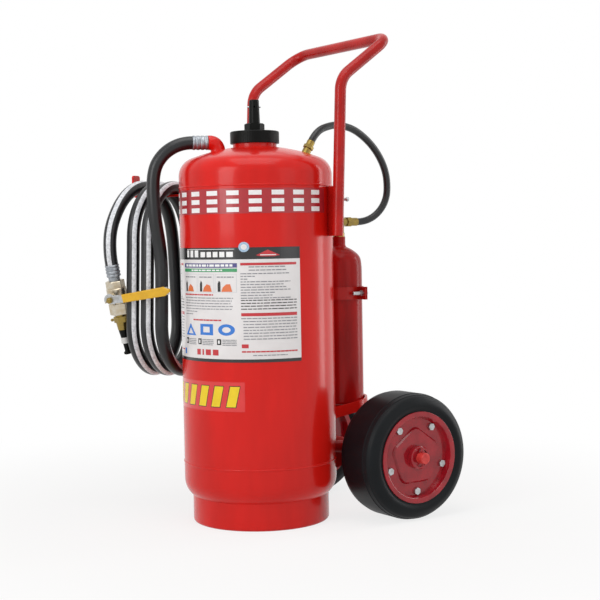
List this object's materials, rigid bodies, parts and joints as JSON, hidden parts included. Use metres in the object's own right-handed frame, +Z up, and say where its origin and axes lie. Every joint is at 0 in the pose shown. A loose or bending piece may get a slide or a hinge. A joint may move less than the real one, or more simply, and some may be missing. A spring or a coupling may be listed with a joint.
{
  "type": "wheeled fire extinguisher",
  "caption": "Trolley powder fire extinguisher on two wheels with a tube handle, an outside gas bottle, a coiled discharge hose on a hook and a nozzle with a ball valve.",
  "frame": {"origin": "centre of the foot ring's underside, on the floor", "axes": "+Z up along the vessel; -Y is the front with the label; +Y is the back with the gas bottle, axle and handle; the axle runs along X"},
  "size_m": [0.5973, 0.7054, 1.1097],
  "materials": {
    "red_paint": "gloss",
    "dark_red_paint": "gloss",
    "black_plastic": "satin",
    "hose_rubber": "satin",
    "tyre_rubber": "matte",
    "zinc_steel": "satin",
    "nickel_brass": "satin",
    "brass": "satin",
    "ptfe": "matte",
    "yellow_vinyl": "gloss",
    "white_plastic": "gloss",
    "axle_red": "gloss",
    "gasket_rubber": "matte"
  },
  "bodies": {
    "extinguisher": {"top_dome": "red_paint", "bottom_dome": "red_paint", "shell_cylinder": "red_paint", "foot_ring": "red_paint", "neck_ring": "red_paint", "outlet_elbow": "red_paint", "hose_hook": "red_paint", "handle_frame": "red_paint", "handle_brackets": "red_paint", "gas_cradle": "red_paint", "clamp_front": "red_paint", "clamp_rear": "red_paint", "gas_bottle": "dark_red_paint", "axle_washers": "dark_red_paint", "split_pins": "dark_red_paint", "axle_brackets": "dark_red_paint", "nozzle_tip": "black_plastic", "discharge_hose_lead": "hose_rubber", "discharge_hose_coil": "hose_rubber", "discharge_hose_tail": "hose_rubber", "gas_hose": "hose_rubber", "outlet_ferrule": "zinc_steel", "nozzle_ferrule": "zinc_steel", "clamp_bolts": "zinc_steel", "siphon_tube": "zinc_steel", "gas_tube": "zinc_steel", "nozzle_coupling": "nickel_brass", "valve_body": "nickel_brass", "gland_nut": "nickel_brass", "gas_inlet_boss": "brass", "nozzle_adaptor": "brass", "gas_valve_body": "brass", "gas_hose_fitting_low": "brass", "gas_hose_fitting_high": "brass", "valve_seats": "ptfe", "nozzle_band": "white_plastic", "axle": "axle_red"},
    "cap_lift": {"cap_gasket": "gasket_rubber"},
    "filler_cap": {"filler_cap": "black_plastic", "relief_nut": "black_plastic", "relief_barrel": "black_plastic", "relief_spring": "zinc_steel"},
    "relief_valve": {"relief_poppet": "zinc_steel", "relief_pin": "zinc_steel"},
    "nozzle_lever": {"valve_ball": "zinc_steel", "valve_stem": "zinc_steel", "valve_lever": "zinc_steel", "lever_grip": "yellow_vinyl", "lever_nut": "brass"},
    "bottle_spindle": {"gas_valve_spindle": "brass"},
    "wheel_right": {"tyre_right": "tyre_rubber", "rim_outer_right": "dark_red_paint", "rim_inner_right": "dark_red_paint", "hub_right": "dark_red_paint", "rim_bolts_right": "zinc_steel"},
    "wheel_left": {"tyre_left": "tyre_rubber", "rim_outer_left": "dark_red_paint", "rim_inner_left": "dark_red_paint", "hub_left": "dark_red_paint", "rim_bolts_left": "zinc_steel"}
  },
  "joints": [
    {"name": "cap_rise", "type": "slide", "parent": "extinguisher", "child": "cap_lift", "axis": [0, 0, 1], "range_m": [0, 0.018]},
    {"name": "cap_turn", "type": "hinge", "parent": "cap_lift", "child": "filler_cap", "pos_m": [0, 0, 0.875], "axis": [0, 0, 1], "range_deg": [0, 1620]},
    {"name": "relief_lift", "type": "slide", "parent": "filler_cap", "child": "relief_valve", "axis": [0, 0, 1], "range_m": [0, 0.005], "stiffness_N_per_m": 4000, "springref_m": -0.006, "deforming": ["relief_spring"]},
    {"name": "nozzle_valve_turn", "type": "hinge", "parent": "extinguisher", "child": "nozzle_lever", "pos_m": [-0.19553, -0.25911, 0.51772], "axis": [-0.5938, 0.7791, 0.2012], "range_deg": [0, 95]},
    {"name": "bottle_valve_turn", "type": "hinge", "parent": "extinguisher", "child": "bottle_spindle", "pos_m": [0, 0.2328, 0.734], "axis": [0, 0, 1], "range_deg": [0, 720]},
    {"name": "wheel_right_spin", "type": "hinge", "parent": "extinguisher", "child": "wheel_right", "pos_m": [0.199, 0.262, 0.144], "axis": [1, 0, 0], "continuous": true},
    {"name": "wheel_left_spin", "type": "hinge", "parent": "extinguisher", "child": "wheel_left", "pos_m": [-0.199, 0.262, 0.144], "axis": [1, 0, 0], "continuous": true}
  ],
  "couplings": [
    {"joint": "cap_rise", "follows": "cap_turn", "m_per_rad": 0.00063662}
  ]
}
